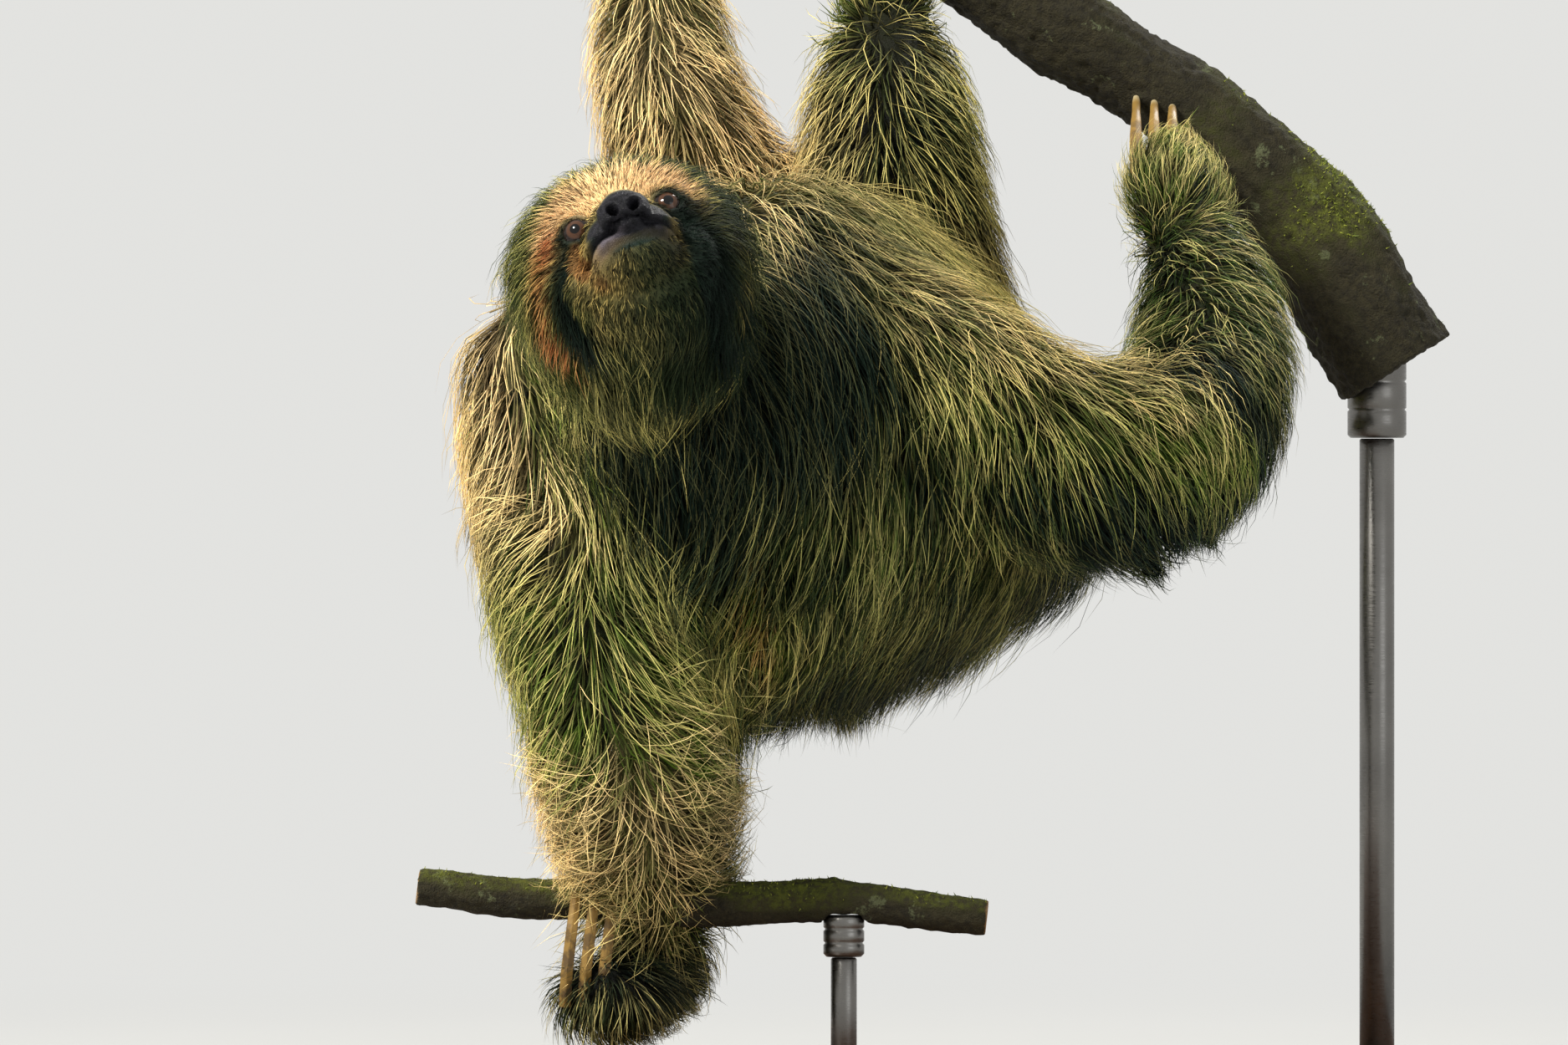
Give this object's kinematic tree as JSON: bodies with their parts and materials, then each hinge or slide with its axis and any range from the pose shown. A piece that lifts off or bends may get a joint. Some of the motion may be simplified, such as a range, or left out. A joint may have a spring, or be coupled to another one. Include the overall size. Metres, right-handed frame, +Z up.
{
  "type": "life-size model of a brown-throated three-toed sloth hanging from a perch",
  "caption": "Life-size still model of a three-toed sloth hanging belly up from a mossy perch, head turned to look forward, on a plain display stand.",
  "frame": {"origin": "middle of the underside of the display base", "axes": "+Z up, -Y towards the side that the head faces, +X towards the sloth's right arm; millimetres in the source, metres in the record"},
  "size_m": [0.43, 0.4999, 0.5667],
  "materials": {
    "coat": "matte",
    "face_coat": "matte",
    "dark_coat": "matte",
    "nose_skin": "satin",
    "eye": "gloss",
    "claw": "satin",
    "bark": "matte",
    "moss": "matte",
    "stand_wood": "satin",
    "stand_steel": "satin"
  },
  "bodies": {
    "root": {"head": "face_coat", "ear_right": "face_coat", "ear_left": "face_coat", "eye_right": "eye", "eye_left": "eye", "neck": "dark_coat", "trunk": "coat", "tail": "coat", "upper_arm_left": "coat", "forearm_left": "coat", "hand_left": "coat", "thigh_left": "coat", "shank_left": "coat", "foot_left": "coat", "claw_hand_left_1": "claw", "claw_hand_left_2": "claw", "claw_hand_left_3": "claw", "claw_foot_left_1": "claw", "claw_foot_left_2": "claw", "claw_foot_left_3": "claw", "upper_arm_right": "coat", "forearm_right": "coat", "hand_right": "coat", "thigh_right": "coat", "shank_right": "coat", "foot_right": "coat", "claw_hand_right_1": "claw", "claw_hand_right_2": "claw", "claw_hand_right_3": "claw", "claw_foot_right_1": "claw", "claw_foot_right_2": "claw", "claw_foot_right_3": "claw", "perch_main": "bark", "perch_low": "bark", "stand_base": "stand_wood", "stand_rod_main": "stand_steel", "stand_collar_main": "stand_steel", "stand_rod_low": "stand_steel", "stand_collar_low": "stand_steel"}
  },
  "joints": []
}
